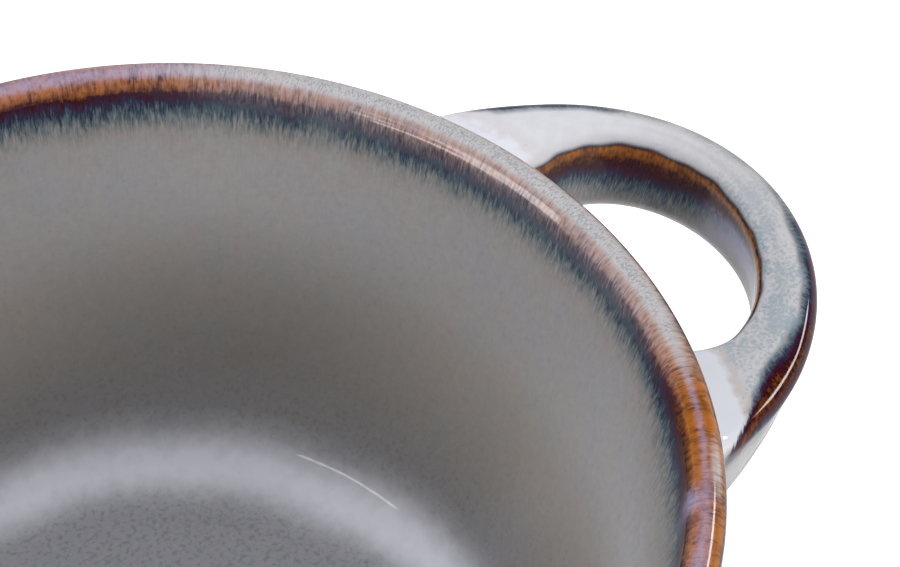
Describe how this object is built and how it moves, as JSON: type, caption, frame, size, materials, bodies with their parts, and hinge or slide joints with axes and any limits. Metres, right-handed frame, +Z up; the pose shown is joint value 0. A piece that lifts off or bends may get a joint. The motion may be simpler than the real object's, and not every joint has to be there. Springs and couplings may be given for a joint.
{
  "type": "two-handled ceramic bowl",
  "caption": "Open stoneware soup bowl with a round rim, sloping wall, turned foot ring and a loop handle on each side, in a glossy reactive glaze.",
  "frame": {"origin": "middle of the foot ring's resting face, on the bowl's axis", "axes": "+Z up along the bowl's axis, +X through the middle of one handle"},
  "size_m": [0.1926, 0.14, 0.061],
  "materials": {
    "reactive_glaze": "glossy pale grey glaze with blue specks that breaks to amber brown on the edges",
    "bare_clay": "unglazed matt buff stoneware",
    "pooled_glaze": "slip under thick white pooled glaze, glossy"
  },
  "bodies": {
    "root": {"bowl_body": "reactive_glaze", "foot_ring": "bare_clay", "handle_right": "reactive_glaze", "handle_left": "reactive_glaze", "luting_slip_right_front": "pooled_glaze", "luting_slip_right_back": "pooled_glaze", "luting_slip_left_back": "pooled_glaze", "luting_slip_left_front": "pooled_glaze"}
  },
  "joints": []
}
